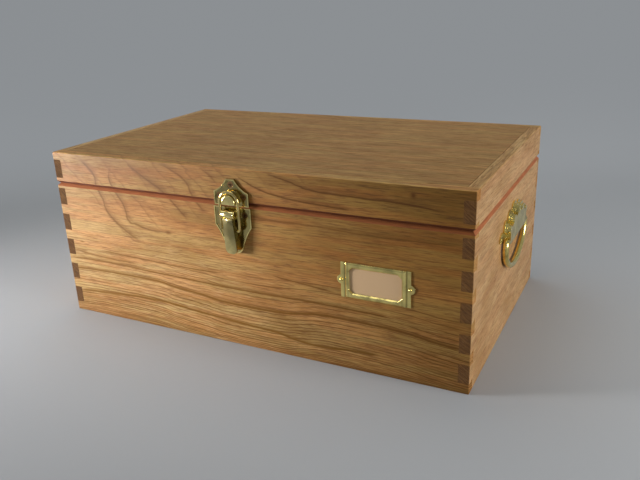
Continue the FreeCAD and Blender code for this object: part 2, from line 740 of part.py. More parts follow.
def label_pin(side):
    """A round-headed pin through one ear."""
    x = LABEL_X + side * LABEL_EAR_X
    front = FRONT - FLANGE_T
    shank = rod_y(front, front + LABEL_PIN_L, x, LABEL_Z, LABEL_PIN_R)
    sphere = Part.makeSphere(LABEL_PIN_HEAD_R, Vector(x, front, LABEL_Z))
    outside = rod_y(front - LABEL_PIN_HEAD_R, front, x, LABEL_Z, LABEL_PIN_HEAD_R)
    return shank.fuse(sphere.common(outside)).removeSplitter()


# ================================================================ handles
def on_end(y, z, out=0.0):
    """A point that stands some way out from the right-hand end."""
    return Vector(RIGHT + out, HANDLE_Y + y, z)


def end_disc(y, z, radius, thickness):
    """A disc that lies on the right-hand end."""
    return Part.makeCylinder(radius, thickness, on_end(y, z), Vector(1, 0, 0))


def scalloped(lobes, inset, foot_y, thickness):
    """A flat piece with a scalloped top edge and a straight foot."""
    places = [(y, HANDLE_PIVOT_Z + up) for y, up, radius in lobes]
    discs = []
    for (y, z), (_, _, radius) in zip(places, lobes):
        discs.append(end_disc(y, z, radius - inset, thickness))
        discs.append(end_disc(-y, z, radius - inset, thickness))
    outline = [on_end(y, z) for y, z in places]
    mirror = [on_end(-y, z) for y, z in reversed(places[1:])]
    foot_z = HANDLE_PIVOT_Z - HANDLE_FOOT_DOWN
    foot = [on_end(foot_y, foot_z), on_end(-foot_y, foot_z)]
    web = face_of(polygon(mirror + outline + foot)).extrude(Vector(thickness, 0, 0))
    return fused(discs + [web])


def handle_end_cut():
    """What is cut from under the right-hand end of the plate, to leave room for the bail."""
    top = HANDLE_PIVOT_Z + HANDLE_SHOULDER_UP
    y0 = HANDLE_Y + HOUSING_HALF_W
    y1 = y0 + HOUSING_HALF_W
    return block(RIGHT - OVER, RIGHT + OVER, y0, y1, top - HOUSING_HALF_W, top)


def handle_plate():
    """The back plate: scallops rising to the middle, and the stepped field raised on it."""
    plate = scalloped(HANDLE_LOBES, 0, HANDLE_LOBES[-1][0], HANDLE_PLATE_T)
    end_cut = handle_end_cut()
    other_cut = end_cut.mirror(Vector(0, HANDLE_Y, 0), Vector(0, 1, 0))
    plate = plate.cut(end_cut).cut(other_cut)
    steps = [
        scalloped(HANDLE_LOBES[:-1], inset, HOUSING_HALF_W, out) for inset, out in HOUSING_STEPS
    ]
    plate = fused([plate] + steps)
    middle_y, middle_up = HANDLE_SCREW_AT[-1]
    well_place = on_end(middle_y, HANDLE_PIVOT_Z + middle_up, HANDLE_PLATE_T)
    well = Part.makeCylinder(HANDLE_WELL_R, OVER, well_place, Vector(1, 0, 0))
    bore = rod_y(
        HANDLE_Y - BAIL_HALF_W, HANDLE_Y + BAIL_HALF_W, RIGHT + HANDLE_OUT, HANDLE_PIVOT_Z,
        BAIL_PIN_R + RUNNING_FIT,
    )
    return plate.cut(well).cut(bore)


def bail_path():
    """The middle of the bail's bar from one shoulder to the other, all tangent."""
    half = BAIL_HALF_W
    elbow = BAIL_ELBOW_R
    slack = elbow * (1 - math.sqrt(0.5))
    corner_z = -elbow - BAIL_CORNER_DOWN
    across = half - BAIL_CORNER_R
    drop = BAIL_DROP + corner_z
    # the bottom arc's radius, from its tangency with the corner arcs
    rise = (across ** 2 - (drop - BAIL_CORNER_R) ** 2) / (2 * (drop - BAIL_CORNER_R))
    bottom_r = drop + rise
    lean = math.atan2(across, rise)
    meet_y = across + BAIL_CORNER_R * math.sin(lean)
    meet_z = corner_z - BAIL_CORNER_R * math.cos(lean)
    bend = (math.pi / 2 - lean) / 2
    mid_y = across + BAIL_CORNER_R * math.cos(bend)
    mid_z = corner_z - BAIL_CORNER_R * math.sin(bend)

    def at(y, z):
        return on_end(y, HANDLE_PIVOT_Z + z, HANDLE_OUT)
    bottom = corner_z + rise - bottom_r
    start = HOUSING_HALF_W + BAIL_SIDE_GAP
    right_half = [
        Part.makeLine(at(start, 0), at(half - elbow, 0)),
        three_point_arc(at(half - elbow, 0), at(half - slack, -slack), at(half, -elbow)),
        Part.makeLine(at(half, -elbow), at(half, corner_z)),
        three_point_arc(at(half, corner_z), at(mid_y, mid_z), at(meet_y, meet_z)),
    ]
    across_arc = three_point_arc(at(meet_y, meet_z), at(0, bottom), at(-meet_y, meet_z))
    left_half = [
        three_point_arc(at(-meet_y, meet_z), at(-mid_y, mid_z), at(-half, corner_z)),
        Part.makeLine(at(-half, corner_z), at(-half, -elbow)),
        three_point_arc(at(-half, -elbow), at(-half + slack, -slack), at(-half + elbow, 0)),
        Part.makeLine(at(-half + elbow, 0), at(-start, 0)),
    ]
    return Part.Wire(right_half + [across_arc] + left_half), at(start, 0), start


def handle_bail():
    """The bail with its thinner pins turned in to the housing."""
    path, start_point, start = bail_path()
    bar = round_bar(path, BAIL_R, start_point, Vector(0, 1, 0))
    x = RIGHT + HANDLE_OUT
    inner = HOUSING_HALF_W - BAIL_PIN_IN
    pins = [
        rod_y(HANDLE_Y + a, HANDLE_Y + b, x, HANDLE_PIVOT_Z, BAIL_PIN_R)
        for a, b in ((inner, start), (-start, -inner))
    ]
    return fused([bar] + pins)


def handle_screw_heads():
    """Heads of the right-hand handle's screws, flush with its plate."""
    return [on_end(y, HANDLE_PIVOT_Z + up, HANDLE_PLATE_T) for y, up in HANDLE_SCREW_AT]


# ================================================================ the pieces together
def catch_screw_heads():
    """Heads of the strike plate's screws, then of the catch plate's."""
    out = CATCH_FIELD - DISH_DEEP
    side_z = STRIKE_FOOT + STRIKE_SCREW_UP
    strike = [
        on_front(CATCH_X, STRIKE_TOP - STRIKE_SCREW_DOWN, out),
        on_front(CATCH_X - STRIKE_SCREW_X, side_z, out),
        on_front(CATCH_X + STRIKE_SCREW_X, side_z, out),
    ]
    catch_z = CATCH_TOP - CATCH_SCREW_DOWN
    catch = [on_front(CATCH_X + side * CATCH_SCREW_X, catch_z, out) for side in (-1, 1)]
    return strike, catch


def small_screws(heads, direction, across):
    """The screws of the hinges and handles."""
    return screw_row(heads, direction, across, SMALL_HEAD_R, SMALL_SHANK_R)


def catch_screws(heads):
    """The screws of the catch."""
    return screw_row(heads, Vector(0, 1, 0), Vector(1, 0, 0), CATCH_HEAD_R, CATCH_SHANK_R)


def build():
    """Every node of the case by name."""
    nodes = {}
    box_middles = [BOX_TAIL_LOWEST + i * BOX_TAIL_PITCH for i in range(BOX_TAILS)]
    box = wall_set(0, BOX_TOP, box_middles, BOX_TAIL_H)
    lid = wall_set(LID_FOOT, CASE_H, [LID_FOOT + LID_TAIL_UP], LID_TAIL_H)
    box_rim = lipping_set(BOX_TOP, SEAM_Z - SEAM_GAP / 2)
    lid_rim = lipping_set(LID_FOOT, SEAM_Z + SEAM_GAP / 2)

    up = Vector(0, 0, 1)
    into_right = Vector(-1, 0, 0)
    along = Vector(1, 0, 0)
    strike_heads, catch_heads = catch_screw_heads()
    base_holes, nodes["hinge_base_screws"] = small_screws(hinge_screw_heads(False), -up, along)
    lid_holes, nodes["hinge_lid_screws"] = small_screws(hinge_screw_heads(True), up, along)
    strike_holes, nodes["strike_screws"] = catch_screws(strike_heads)
    catch_holes, nodes["catch_screws"] = catch_screws(catch_heads)
    end_holes, right_screws = small_screws(handle_screw_heads(), into_right, up)
    pins = [label_pin(side) for side in (-1, 1)]
    nodes["label_pins"] = pins

    seat = bottom_panel(PANEL_GAP)
    box = {name: board.cut(seat) for name, board in box.items()}
    groove = top_panel(PANEL_GAP)
    lid = {name: board.cut(groove) for name, board in lid.items()}
    box["front"] = without(box["front"], catch_holes + pins)
    box["back"] = without(box["back"], base_holes)
    box["right"] = without(box["right"], end_holes)
    box["left"] = without(box["left"], [mirrored_x(h) for h in end_holes])
    lid["front"] = without(lid["front"], strike_holes)
    lid["back"] = without(lid["back"], lid_holes)

    base_seats = [moved_x(hinge_seat(False), side * HINGE_X) for side in (-1, 1)]
    lid_seats = [moved_x(hinge_seat(True), side * HINGE_X) for side in (-1, 1)]
    box_rim["back"] = without(box_rim["back"], base_seats + base_holes)
    lid_rim["back"] = without(lid_rim["back"], lid_seats + lid_holes)

    for name in ("front", "back", "left", "right"):
        nodes["base_" + name] = box[name]
        nodes["lid_" + name] = lid[name]
        nodes["base_rim_" + name] = box_rim[name]
        nodes["lid_rim_" + name] = lid_rim[name]
    nodes["base_bottom"] = bottom_panel(0)
    nodes["lid_top_panel"] = top_panel(0)

    for side_name, side in (("left", -1), ("right", 1)):
        x = side * HINGE_X
        nodes["hinge_" + side_name + "_base_leaf"] = without(moved_x(hinge_leaf(False), x), base_holes)
        nodes["hinge_" + side_name + "_lid_leaf"] = without(moved_x(hinge_leaf(True), x), lid_holes)
        pin_end = HINGE_L / 2
        nodes["hinge_" + side_name + "_pin"] = rod_x(
            x - pin_end, x + pin_end, AXIS_Y, SEAM_Z, HINGE_PIN_R
        )

    strike = moved_x(strike_plate(), CATCH_X)
    catch = moved_x(catch_plate(), CATCH_X)
    nodes["strike_plate"] = without(strike, strike_holes + dishes(strike_heads))
    nodes["catch_plate"] = without(catch, catch_holes + dishes(catch_heads))
    nodes["catch_pivot_pin"] = moved_x(catch_pin(), CATCH_X)
    nodes["catch_lever"] = moved_x(catch_lever(), CATCH_X)
    nodes["catch_loop"] = moved_x(catch_loop(), CATCH_X)
    nodes["label_frame"] = without(label_frame(), pins)
    nodes["label_card"] = label_card()

    plate = without(handle_plate(), end_holes)
    bail = handle_bail()
    nodes["handle_right_plate"] = plate
    nodes["handle_right_bail"] = bail
    nodes["handle_right_screws"] = right_screws
    nodes["handle_left_plate"] = mirrored_x(plate)
    nodes["handle_left_bail"] = mirrored_x(bail)
    nodes["handle_left_screws"] = [mirrored_x(s) for s in right_screws]
    return nodes


def export(nodes):
    """Write each node to its own file; a group of like pieces is one file of solids."""
    for name, shape in nodes.items():
        if isinstance(shape, list):
            shape = Part.makeCompound(shape)
        shape.exportStep(os.path.join("parts", name + ".step"))
        print(name, len(shape.Solids), "solids", round(shape.Volume, 1), "mm3")


export(build())
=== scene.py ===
"""The looks of the dovetailed wooden case: its materials, camera and studio.

Metres, in the frame of the CAD model: origin under the middle of the case, +X to the
right-hand end, +Y to the back, +Z up.  Patterns are laid out on each piece's own
coordinates, which at rest are those of the frame, so they stay with pieces that move.
"""
import json
import math

import bpy
from mathutils import Matrix, Vector


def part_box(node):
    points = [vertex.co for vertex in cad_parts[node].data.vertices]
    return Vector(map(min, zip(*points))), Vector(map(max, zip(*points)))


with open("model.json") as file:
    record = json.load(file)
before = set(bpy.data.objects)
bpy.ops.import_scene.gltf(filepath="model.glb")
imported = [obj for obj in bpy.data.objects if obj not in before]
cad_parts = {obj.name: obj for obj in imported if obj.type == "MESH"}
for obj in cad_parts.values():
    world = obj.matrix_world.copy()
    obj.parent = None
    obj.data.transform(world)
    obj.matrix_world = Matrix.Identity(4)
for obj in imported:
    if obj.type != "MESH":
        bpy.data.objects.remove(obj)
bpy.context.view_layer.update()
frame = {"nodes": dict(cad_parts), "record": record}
MM = 0.001
WHITE = (1.0, 1.0, 1.0)
BLACK = (0.0, 0.0, 0.0)


# ================================================================ numbers over a surface
class Field:
    """A number at every point of a surface, worked out by shader nodes."""

    def __init__(self, tree, socket):
        self.tree = tree
        self.socket = socket

    def _math(self, operation, *others):
        node = self.tree.nodes.new("ShaderNodeMath")
        node.operation = operation
        for slot, value in zip(node.inputs, (self,) + others):
            if isinstance(value, Field):
                self.tree.links.new(value.socket, slot)
            else:
                slot.default_value = value
        return Field(self.tree, node.outputs[0])

    def __add__(self, other):
        return self._math("ADD", other)

    def __sub__(self, other):
        return self._math("SUBTRACT", other)

    def __mul__(self, other):
        return self._math("MULTIPLY", other)

    def __truediv__(self, other):
        return self._math("DIVIDE", other)

    def __pow__(self, power):
        return self._math("POWER", power)

    __radd__ = __add__
    __rmul__ = __mul__

    def __rsub__(self, other):
        return other + self * -1.0

    def sin(self):
        return self._math("SINE")

    def exp(self):
        return self._math("EXPONENT")

    def log(self):
        return self._math("LOGARITHM", math.e)

    def abs(self):
        return self._math("ABSOLUTE")

    def fract(self):
        return self._math("FRACT")

    def smooth_min(self, other, width):
        return self._math("SMOOTH_MIN", other, width)

    def at_least(self, low):
        return self._math("MAXIMUM", low)

    def at_most(self, high):
        return self._math("MINIMUM", high)

    def ramp(self, low, high):
        """0 below low, 1 above high, and smooth between."""
        node = self.tree.nodes.new("ShaderNodeMapRange")
        node.interpolation_type = "SMOOTHSTEP"
        self.tree.links.new(self.socket, node.inputs["Value"])
        node.inputs["From Min"].default_value = low
        node.inputs["From Max"].default_value = high
        return Field(self.tree, node.outputs[0])

    def bump_at(self, centre, width):
        """1 at the centre, falling to nothing like a bell."""
        offset = (self - centre) / width
        return (offset * offset * -1.0).exp()


class Surface:
    """A material under construction: its shader, its coordinates and its helpers."""

    def __init__(self, name):
        self.material = bpy.data.materials.new(name)
        self.material.use_nodes = True
        self.tree = self.material.node_tree
        self.shader = self.tree.nodes["Principled BSDF"]
        coordinates = self.tree.nodes.new("ShaderNodeTexCoord")
        self.place = coordinates.outputs["Object"]
        self.normal = coordinates.outputs["Normal"]

    def split(self, vector):
        node = self.tree.nodes.new("ShaderNodeSeparateXYZ")
        self.tree.links.new(vector, node.inputs[0])
        return [Field(self.tree, output) for output in node.outputs]

    def millimetres(self):
        """The place on the piece, along X, Y and Z."""
        return [part / MM for part in self.split(self.place)]

    def joined(self, *parts):
        node = self.tree.nodes.new("ShaderNodeCombineXYZ")
        for slot, value in zip(node.inputs, parts):
            if isinstance(value, Field):
                self.tree.links.new(value.socket, slot)
            else:
                slot.default_value = value
        return node.outputs[0]

    def noise(self, vector, scale, detail, roughness=0.5):
        node = self.tree.nodes.new("ShaderNodeTexNoise")
        self.tree.links.new(vector, node.inputs["Vector"])
        node.inputs["Scale"].default_value = scale
        node.inputs["Detail"].default_value = detail
        node.inputs["Roughness"].default_value = roughness
        return Field(self.tree, node.outputs["Fac"])

    def curve(self, along, points):
        """A smooth curve through given points: the second number for the first."""
        first, last = points[0][0], points[-1][0]
        low = min(height for _, height in points)
        span = max(height for _, height in points) - low
        node = self.tree.nodes.new("ShaderNodeFloatCurve")
        line = node.mapping.curves[0]
        places = [((at - first) / (last - first), (height - low) / span) for at, height in points]
        line.points[0].location = places[0]
        line.points[-1].location = places[-1]
        for place in places[1:-1]:
            line.points.new(*place)
        node.mapping.update()
        share = (along - first) / (last - first)
        self.tree.links.new(share.socket, node.inputs["Value"])
        return Field(self.tree, node.outputs[0]) * span + low

    def mix(self, share, first, second, blend="MIX"):
        """A colour between two, each a socket or three numbers."""
        node = self.tree.nodes.new("ShaderNodeMix")
        node.data_type = "RGBA"
        node.blend_type = blend
        factor, a, b = node.inputs[0], node.inputs[6], node.inputs[7]
        if isinstance(share, Field):
            self.tree.links.new(share.socket, factor)
        else:
            factor.default_value = share
        for slot, value in ((a, first), (b, second)):
            if isinstance(value, bpy.types.NodeSocket):
                self.tree.links.new(value, slot)
            else:
                slot.default_value = tuple(value) + (1.0,)
        return node.outputs[2]

    def times(self, first, second):
        """One colour multiplied by another."""
        return self.mix(1.0, first, second, "MULTIPLY")

    def even(self, value):
        """A number that is the same all over, as a field."""
        node = self.tree.nodes.new("ShaderNodeValue")
        node.outputs[0].default_value = value
        return Field(self.tree, node.outputs[0])

    def paint(self, colour):
        self.tree.links.new(colour, self.shader.inputs["Base Color"])

    def roughness(self, value):
        if isinstance(value, Field):
            self.tree.links.new(value.socket, self.shader.inputs["Roughness"])
        else:
            self.shader.inputs["Roughness"].default_value = value

    def gloss(self, level):
        self.shader.inputs["Specular IOR Level"].default_value = level

    def relief(self, height, depth):
        """Raise and sink the surface by a field, depth metres for a height of one."""
        node = self.tree.nodes.new("ShaderNodeBump")
        node.inputs["Strength"].default_value = 1.0
        node.inputs["Distance"].default_value = depth
        self.tree.links.new(height.socket, node.inputs["Height"])
        self.tree.links.new(node.outputs[0], self.shader.inputs["Normal"])


def linear(red, green, blue):
    """A colour given as 0 to 255 values on screen, as the shader's linear light."""
    def one(value):
        value /= 255.0
        return value / 12.92 if value <= 0.04045 else ((value + 0.055) / 1.055) ** 2.4
    return one(red), one(green), one(blue)


def darker(tone, share):
    """A colour scaled down."""
    return tuple(part * share for part in tone)


# ================================================================ wood
WOOD_LIGHT = (0.520, 0.275, 0.072)
WOOD_MID = (0.400, 0.192, 0.042)
WOOD_PALE = (0.640, 0.370, 0.125)
WOOD_DARK = (0.160, 0.054, 0.009)
WOOD_LINE = (0.165, 0.056, 0.001)
END_GRAIN = (0.048, 0.018, 0.004)
END_GRAIN_PALE = (0.120, 0.052, 0.013)

# Colours that multiply the wood's own.
# Painted shade: the multiplier at full shade, on the front boards and the strips.
PAINTED_SHADE_TINT = (0.220, 0.200, 0.000)
WOOD_OLIVE = (0.970, 1.010, 0.900)
WOOD_BLUSH = (1.060, 0.900, 0.780)
# Painted light on the front boards: a cool painted sheen and a warm painted shade.
PAINTED_SHEEN_COOL = (1.120, 1.250, 1.450)
PAINTED_SHADE_WARM = (0.920, 0.850, 0.680)
# Painted highlight on the boards' upper edges, by the way their grain runs.
TOP_EDGE_HIGHLIGHT = {"front": (1.30, 1.36, 1.22), "side": (1.50, 1.58, 1.42)}

# Noise in the wood: its length along the grain and its width across it, in millimetres,
# then its detail and its roughness.
WANDER = (60.0, 9.0, 3.0, 0.5)
JAG = (6.0, 1.8, 2.0, 0.5)
CLOUDS = (60.0, 16.0, 2.0, 0.5)
BLUSHES = (85.0, 8.0, 2.0, 0.5)
STREAKS = (55.0, 2.6, 3.0, 0.6)
DASHES = (16.0, 1.0, 3.0, 0.65)
PORES = (14.0, 0.7, 2.0, 0.6)

# Where each noise comes in, from nothing to full, and how strongly it colours the wood.
CLOUD_RANGE = (0.30, 0.70)
BLUSH_RANGE = (0.40, 0.62)
STREAK_RANGE = (0.45, 0.80)
STREAK_DARK = 0.45
DARK_DASH_RANGE = (0.48, 0.68)
DARK_DASH = 0.50
PALE_DASH_RANGE = (0.30, 0.48)
PALE_DASH = 0.45
DASH_PLAIN = 0.55         # dashes where there are no rings
DASH_RINGED = 0.33        # and what full rings add to them
PORE_RANGE = (0.50, 0.68)
PORE_DARK = 0.62

# Growth rings.  They follow a height over the board, and widen as it rises.
RING_GROWTH = 0.0647      # how much wider a ring is for each millimetre
RING_START = 3.53         # width of a ring at height nought
RING_LEAST = 0.2
RING_WANDER = 3.5         # how far the rings wander
JAG_ALONG = 1.2           # how far short noise jags the lines
JAG_ACROSS = 0.9
LINE_BELOW = 0.5          # how far a line fades below and above it, in widths
LINE_ABOVE = 1.5
MAIN_W = 0.48             # width of the dark line at each ring
MAIN_DARK = 0.42
MAIN_UNEVEN = 0.55        # what the lines' unevenness adds to that
MINOR_COUNT = 3.0         # minor lines to a ring
MINOR_W = 0.22
MINOR_DARK = 0.08
MINOR_UNEVEN = 0.35
BAND_DARK = 0.10          # darkening through a ring
UNEVEN_ALONG = 80.0
UNEVEN_RINGS = 1.2
UNEVEN_RANGE = (0.38, 0.64)

# Faces, by how far they are turned.
END_FACING = (0.6, 0.8)
TOP_FACING = (0.6, 0.9)
FRONT_FACING = 0.75
FACING_BLEND = 0.2

# The front boards' painted shade and painted sheen, over places in millimetres.
SHADE_RIGHT_RANGE = (-60.0, 190.0)
SHADE_RIGHT = 0.58
SHADE_TOP_RANGE = (90.0, 160.0)
SHADE_TOP = 0.18
PAINTED_CAST_RANGE = (0.0, 130.0)
PAINTED_CAST_SLOPE = 0.2

# End grain.
END_LINE_W = 0.9
END_LINE_L = 10.0
END_LINE_LEAN = 0.8
END_RANGE = (0.35, 0.65)

# Varnish.
WOOD_ROUGH = 0.44
PORE_ROUGH = 0.18
END_ROUGH = 0.45
WOOD_GLOSS = 0.2
PORE_SINK = 0.6
LINE_SINK = 0.4
WOOD_RELIEF = 0.05 * MM


def board_axes(surface, along):
    """Coordinates along the grain, across the face and through the board, and the ends."""
    x, y, z = surface.millimetres()
    nx, ny, _ = surface.split(surface.normal)
    if along == "front":
        return (x, z, y), nx
    if along == "side":
        return (y, z, x), ny
    return (x, y, z), nx


def grain_noise(surface, place, kind, shift):
    """Noise drawn out along the grain."""
    u, v, w = place
    length, width, detail, roughness = kind
    vector = surface.joined(u / length, v / width, w / width + shift)
    return surface.noise(vector, 1.0, detail, roughness)


def ring_lines(rings, pitch, width):
    """Thin dark lines at whole numbers of a field, sharp below and fading upwards."""
    phase = rings.fract()
    below = ((1.0 - phase) * pitch).bump_at(0.0, width * LINE_BELOW)
    above = (phase * pitch).bump_at(0.0, width * LINE_ABOVE)
    return (below + above).at_most(1.0)


def growth_rings(surface, height, share, along, seed):
    """The main and the minor lines, the darkening through each ring, and unevenness."""
    pitch = (height * RING_GROWTH + RING_START).at_least(RING_LEAST)
    rings = pitch.log() / RING_GROWTH
    main = ring_lines(rings + seed, pitch, MAIN_W) * share
    minor = ring_lines(rings * MINOR_COUNT + seed, pitch / MINOR_COUNT, MINOR_W) * share
    band = (rings + seed).fract() * share
    vector = surface.joined(along / UNEVEN_ALONG, rings / UNEVEN_RINGS, seed)
    uneven = surface.noise(vector, 1.0, 1.0).ramp(*UNEVEN_RANGE)
    return main, minor, band, uneven


def ground_tone(surface, place, ring_share, seed, lines):
    """The wood under its growth lines: clouds, streaks, and short dashes."""
    clouds = grain_noise(surface, place, CLOUDS, seed)
    tone = surface.mix(clouds.ramp(*CLOUD_RANGE), WOOD_LIGHT, WOOD_MID)
    blushes = grain_noise(surface, place, BLUSHES, seed * 3.0)
    hue = surface.mix(blushes.ramp(*BLUSH_RANGE) * lines, WOOD_OLIVE, WOOD_BLUSH)
    tone = surface.times(tone, hue)
    streaks = grain_noise(surface, place, STREAKS, seed)
    tone = surface.mix(streaks.ramp(*STREAK_RANGE) * STREAK_DARK, tone, WOOD_DARK)
    dashes = grain_noise(surface, place, DASHES, seed * 2.0)
    coarse = ring_share * DASH_RINGED + DASH_PLAIN
    tone = surface.mix(dashes.ramp(*DARK_DASH_RANGE) * coarse * DARK_DASH, tone, WOOD_DARK)
    pale = (1.0 - dashes.ramp(*PALE_DASH_RANGE)) * coarse * PALE_DASH
    return surface.mix(pale, tone, WOOD_PALE)


def lined_tone(surface, tone, rings, marks, pores, lines):
    """The growth lines, the pores and the marks drawn by hand, over the wood's ground."""
    main, minor, band, uneven = rings
    tone = surface.mix(band * band * BAND_DARK * lines, tone, WOOD_DARK)
    main_share = main * (uneven * MAIN_UNEVEN + MAIN_DARK) * lines
    tone = surface.mix(main_share.at_most(1.0), tone, WOOD_LINE)
    tone = surface.mix(minor * (uneven * MINOR_UNEVEN + MINOR_DARK) * lines, tone, WOOD_DARK)
    tone = surface.mix(pores * PORE_DARK, tone, WOOD_DARK)
    return surface.mix(marks, tone, WOOD_LINE)


def facing_front(surface, least):
    """One on faces turned to the front by at least this much, nought on the others."""
    return (surface.split(surface.normal)[1] * -1.0).ramp(least, least + FACING_BLEND)


def painted_shade(surface, tone, share):
    """Paint shade on a colour: darken it by a field."""
    return surface.times(tone, surface.mix(share, WHITE, PAINTED_SHADE_TINT))


def painted_top_highlight(surface, tone, tint_and_sheen):
    """Painted highlight: the boards' upper edges, paler than their faces."""
    upward = surface.split(surface.normal)[2].ramp(*TOP_FACING)
    return surface.mix(upward, tone, surface.times(tone, tint_and_sheen))


def front_painted_shade(u, v):
    """Painted shade: the front boards grow darker towards the right, and a little towards the top.
    """
    return u.ramp(*SHADE_RIGHT_RANGE) * SHADE_RIGHT + v.ramp(*SHADE_TOP_RANGE) * SHADE_TOP


def front_painted_light(surface, tone, u, v):
    """Painted light: a cooler sheen low on the front boards' left, warmer at the upper right, then
    shade.
    """
    facing = facing_front(surface, FRONT_FACING)
    cast = surface.mix((v + u * PAINTED_CAST_SLOPE).ramp(*PAINTED_CAST_RANGE), PAINTED_SHEEN_COOL, PAINTED_SHADE_WARM)
    tone = surface.mix(facing, tone, surface.times(tone, cast))
    return painted_shade(surface, tone, front_painted_shade(u, v) * facing)


def end_grain(surface, place, seed):
    """The dark ends of the boards, with fine slanting lines."""
    _, v, w = place
    across = (v + w * END_LINE_LEAN) / END_LINE_W
    lines = surface.noise(surface.joined(across, (v - w) / END_LINE_L, seed), 1.0, 2.0)
    return surface.mix(lines.ramp(*END_RANGE), END_GRAIN, END_GRAIN_PALE)


def wood(name, along, figure, tint_and_sheen, seed, lines, end_dark, is_front):
    """Varnished hardwood.

    figure(surface, u, v, w) gives the height that its grain follows, how strong its rings
    are, and the marks drawn on it besides.  lines scales the strength of the growth lines,
    end_dark that of the end grain.
    """
    surface = Surface(name)
    place, end = board_axes(surface, along)
    u, v, w = place
    wander = grain_noise(surface, place, WANDER, seed) - 0.5
    jag = grain_noise(surface, place, JAG, seed) - 0.5
    height, share, marks = figure(surface, u + jag * JAG_ALONG, v + jag * JAG_ACROSS, w)
    rings = growth_rings(surface, height + wander * RING_WANDER, share, u, seed)
    main = rings[0]
    pores = grain_noise(surface, place, PORES, seed).ramp(*PORE_RANGE)
    tone = ground_tone(surface, place, share, seed, lines)
    # The board's multiplier is partly the wood's colour and partly a painted sheen.
    tone = surface.times(lined_tone(surface, tone, rings, marks, pores, lines), tint_and_sheen)
    if along in TOP_EDGE_HIGHLIGHT:
        tone = painted_top_highlight(surface, tone, TOP_EDGE_HIGHLIGHT[along])
    if is_front:
        tone = front_painted_light(surface, tone, u, v)
    end_share = end.abs().ramp(*END_FACING)
    surface.paint(surface.mix(end_share * end_dark, tone, end_grain(surface, place, seed)))
    surface.roughness(pores * PORE_ROUGH + end_share * END_ROUGH + WOOD_ROUGH)
    surface.gloss(WOOD_GLOSS)
    surface.relief(-1.0 * (pores * PORE_SINK + main * LINE_SINK), WOOD_RELIEF)
    return surface.material


# ================================================================ the boards' figures
HALF_LENGTH = 200.0       # from the middle of the front board to its ends
LINE_FADE = 14.0          # growth lines fade over this much at their ends
SIDE_AT = 1.8             # their paler side, in widths of the core
SIDE_W = 2.6
LEVEL_W = 0.62
LEVEL_DARK = 1.1
LEVEL_SIDE = 0.34
FALLING_W = 1.5
FALLING_DARK = 0.62
FALLING_SIDE = 0.6
MARKS_MOST = 0.92

# The front board's rings run level near its foot and fall to the right higher up.
FALL_SUM = 170.0          # where x + z is this much,
FALL_HEIGHT = 84.0        # the falling rings are those of this height,
FALL_RATE = 0.27          # and they change by this much for each millimetre more
FALL_LEAST = 80.0
FALL_BLEND = 6.0
WAVE_MIDDLE = 44.0        # near the foot they wave as the first of the level lines does,
WAVE_END = (50.0, 85.0)   # and over these heights they cease to
FRONT_DEPTH = 0.3         # how much the rings' height changes through the board
RING_SHARE = 1.2          # the rings' strength near the foot
RING_FADES = [((30.0, 60.0), 0.50), ((70.0, 95.0), 0.40)]

# The other boards' rings.
PLAIN_START = 140.0
PLAIN_WAVE_L = 70.0
PLAIN_DEPTH = 0.4

# The front board's level growth lines: how dark, then the points they run through, in
# millimetres from its left end and above its foot.
LEVEL_LINES = [
    (1.5, [(0, 45), (50, 47.6), (100, 47.6), (125, 45), (160, 42), (190, 39), (225, 39),
           (262, 42.6), (287, 44.6), (325, 44), (375, 39), (400, 37)]),
    (1.3, [(5, 22), (62, 26), (100, 27.6), (150, 24.5), (200, 21.5), (230, 20), (255, 16),
           (275, 15), (300, 17), (330, 18)]),
    (0.9, [(0, 56), (50, 57.5), (100, 56), (150, 55), (190, 54), (275, 54.5), (340, 52)]),
    (0.7, [(40, 69), (100, 67), (140, 66), (185, 67.5)]),
    (0.7, [(225, 73), (262, 69.5), (292, 66.5)]),
    (0.65, [(4, 67), (50, 62), (90, 61.5)]),
    (0.5, [(215, 119), (260, 121), (330, 119), (392, 121)]),
    (0.8, [(199, 160), (215, 150), (237, 143), (275, 139), (310, 137.5)]),
    (0.8, [(228, 161), (252, 155), (275, 149.5), (310, 148), (345, 147), (380, 143)]),
]
# Its growth lines that fall to the right, by x - z and x + z.
FALLING_LINES = [
    (0.95, [(-127, 187), (-112, 192), (-98, 192), (-84, 182), (-66, 176), (-52, 168),
            (-41, 167), (-23, 169), (11, 179)]),
    (0.95, [(-88, 228), (-82, 218), (-75, 207), (-59, 201), (-42, 198), (-30, 192),
            (-20, 186), (-10, 192), (4, 200), (28, 222)]),
    (0.9, [(-70, 246), (-50, 250), (-31, 255), (-7, 261), (18, 262), (42, 262)]),
    (0.8, [(-37, 281), (-14, 294), (6, 298), (19, 293), (34, 290), (53, 291)]),
    (0.7, [(5, 325), (14, 329), (25, 331), (40, 331)]),
]
# Small knots: along, above the foot, half their length and half their height.
KNOTS = [(127.0, 97.4, 3.0, 1.5), (20.0, 75.0, 3.0, 0.9), (354.0, 154.0, 2.2, 2.4)]
KNOT_DARK = 0.9


def growth_line(surface, along, across, points, width, strength, side_share):
    """One growth line on a board: a dark core with a paler side, fading at its ends."""
    first, last = points[0][0], points[-1][0]
    offset = across - surface.curve(along, points)
    core = offset.bump_at(0.0, width)
    side = offset.bump_at(width * SIDE_AT, width * SIDE_W) * side_share
    start = along.ramp(first, first + LINE_FADE)
    reach = start * (1.0 - along.ramp(last - LINE_FADE, last))
    return ((core + side) * reach * strength).at_most(1.0)


